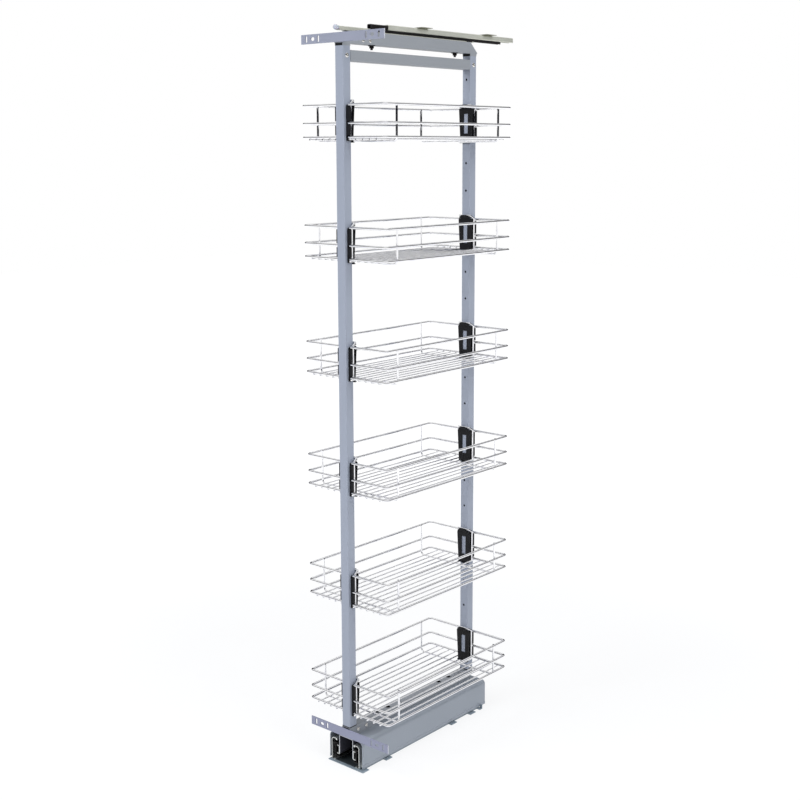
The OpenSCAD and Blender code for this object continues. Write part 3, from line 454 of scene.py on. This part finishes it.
def basket_welds():
    """Resistance welds: an ellipsoid of metal on each side where two wires of a basket cross.

    The unit bead is a sphere of five bands, radius sin p and height cos p; a weld is its middle plus its
    three half sizes times the bead.
    """
    p = math.pi * np.arange(6) / 5
    bead, bead_faces = turned(np.sin(p), np.cos(p), 8)
    flat, facing_x, facing_y = (0.0025, 0.0021, 0.0011), (0.0011, 0.0029, 0.0026), (0.0029, 0.0011, 0.0026)
    welds = []
    for side in (-1, 1):
        for i in FLOOR_WIRES:
            if i:  # the middle floor wire ends just past the bows
                welds.append(((i * FLOOR_PITCH, side * RAIL_Y, ON_RAIL), flat))
            welds.append(((i * FLOOR_PITCH, side * BOW_Y, ON_BOW), flat))
        for level in RAIL_LEVELS:
            for end in (-1, 1):
                welds.append(((side * (RAIL_X - INSIDE_RAIL), end * BOW_Y, level), facing_x))
                welds.append(((side * HANGER_X, end * (RAIL_Y - INSIDE_RAIL), level), facing_y))
    middles, sizes = (np.array(some)[:, None] for some in zip(*welds))
    starts = len(bead) * np.arange(len(welds))[:, None, None]
    faces = [(kind + starts).reshape(-1, kind.shape[1]) for kind in bead_faces]
    for number in range(1, BASKETS + 1):
        place = (0.0, 0.0, LOWEST_BASKET + BASKET_PITCH * (BASKETS - number))
        points = (middles + place + sizes * bead).reshape(-1, 3)
        add_piece("basket_%d_welds" % number, (points, faces), "basket_chrome", "frame")


formed_screws()
basket_welds()


# ------------------------------------------------------------------ studio

WHITE, BLACK = (1.0, 1.0, 1.0, 1.0), (0.01, 0.01, 0.014, 1.0)
LAMPS_FACE = (0.0, 0.0, 1.1)
LAMP_SIDE = 1.8


def studio_world():
    """White to the camera and in the metal, and dimmer as light.

    The metal also sees a dark wall all round, which draws the wires' dark lines. Its foot is at the horizon
    and its top fades out where a ray's direction rises by 0.44 to 0.68.
    """
    world = bpy.data.worlds.new("studio")
    world.use_nodes = True
    s = Shader(world.node_tree)
    seen, mirrored = s.rays()
    rise = s.place("Z", "Generated")
    wall = rise.step(-0.01, 0.01) * (1 - rise.step(0.44, 0.68))
    colour = s.mix(mirrored * wall, WHITE, BLACK)
    shown = s.add("ShaderNodeBackground", {}, {"Color": colour, "Strength": 1.0})
    light = s.add("ShaderNodeBackground", {}, {"Color": (0.97, 0.98, 1.0, 1.0), "Strength": 0.50})
    both = s.add("ShaderNodeMixShader", {}, {0: seen, 1: light, 2: shown})
    s.add("ShaderNodeOutputWorld", {}, {"Surface": both})
    bpy.context.scene.world = world


def studio_floor():
    """A pale floor that keeps a soft shadow of the unit.

    For the camera it lifts itself to white, and a little more away from the unit, where the lamps fade: far
    goes from 0 to 1 over the squared distance from its axis.
    """
    half, gap = 12.0, 0.0005
    mesh = bpy.data.meshes.new("studio_floor")
    mesh.from_pydata([(-half, -half, 0), (half, -half, 0), (half, half, 0), (-half, half, 0)], [],
                     [(0, 1, 2, 3)])
    floor = bpy.data.objects.new("studio_floor", mesh)
    floor.location.z = -gap
    bpy.context.scene.collection.objects.link(floor)
    material = bpy.data.materials.new("studio_floor")
    material.use_nodes = True
    s = Shader(material.node_tree)
    x, y = s.place("X"), s.place("Y")
    far = (x * x + y * y).step(0.3, 5.0)
    matt = s.add("ShaderNodeBsdfDiffuse", {}, {"Color": (0.66, 0.67, 0.69, 1.0)})
    near_lift, far_lift = (s.add("ShaderNodeEmission", {}, {"Color": WHITE, "Strength": strength})
                           for strength in (1.20, 1.43))
    lift = s.add("ShaderNodeMixShader", {}, {0: far, 1: near_lift, 2: far_lift})
    seen_share = s.rays()[0] * 0.66
    both = s.add("ShaderNodeMixShader", {}, {0: seen_share, 1: matt, 2: lift})
    s.add("ShaderNodeOutputMaterial", {}, {"Surface": both})
    mesh.materials.append(material)


def softbox(name, place, power, colour):
    """A square area lamp at place that faces the unit, with its power in watts.

    The metal doesn't mirror it, because bright wires would melt into the white.
    """
    lamp = bpy.data.lights.new(name, "AREA")
    lamp.size, lamp.energy, lamp.color = LAMP_SIDE, power, colour
    box = bpy.data.objects.new(name, lamp)
    box.location = place
    box.visible_glossy = False
    x, y, z = np.subtract(place, LAMPS_FACE)
    box.rotation_euler = (math.atan2(math.hypot(x, y), z), 0.0, math.atan2(x, -y))
    bpy.context.scene.collection.objects.link(box)


def photo_camera():
    """The camera of the photograph, solved from the rails and posts; back points from the unit to it."""
    camera = bpy.data.cameras.new("photo_camera")
    camera.sensor_width, camera.lens = 36.0, 57.495
    camera.shift_y = -0.045
    camera.clip_end = 60.0
    view = bpy.data.objects.new("photo_camera", camera)
    view.location = (2.0445, -2.4094, 1.5066)
    azimuth, elevation, roll = (math.radians(a) for a in (40.784, 9.502, -0.191))
    back = Vector((math.sin(azimuth) * math.cos(elevation), -math.cos(azimuth) * math.cos(elevation),
                   math.sin(elevation)))
    turn = (-back).to_track_quat("-Z", "Y").to_matrix() @ Matrix.Rotation(roll, 3, "Z")
    view.rotation_euler = turn.to_euler()
    bpy.context.scene.collection.objects.link(view)
    bpy.context.scene.camera = view


studio_world()
studio_floor()
softbox("front_softbox", (-1.0, -2.8, 3.0), 70.0, (0.95, 0.97, 1.0))
softbox("right_softbox", (3.0, -0.3, 3.0), 66.0, (0.97, 0.99, 1.0))
photo_camera()

bpy.context.scene.view_settings.view_transform = "Standard"
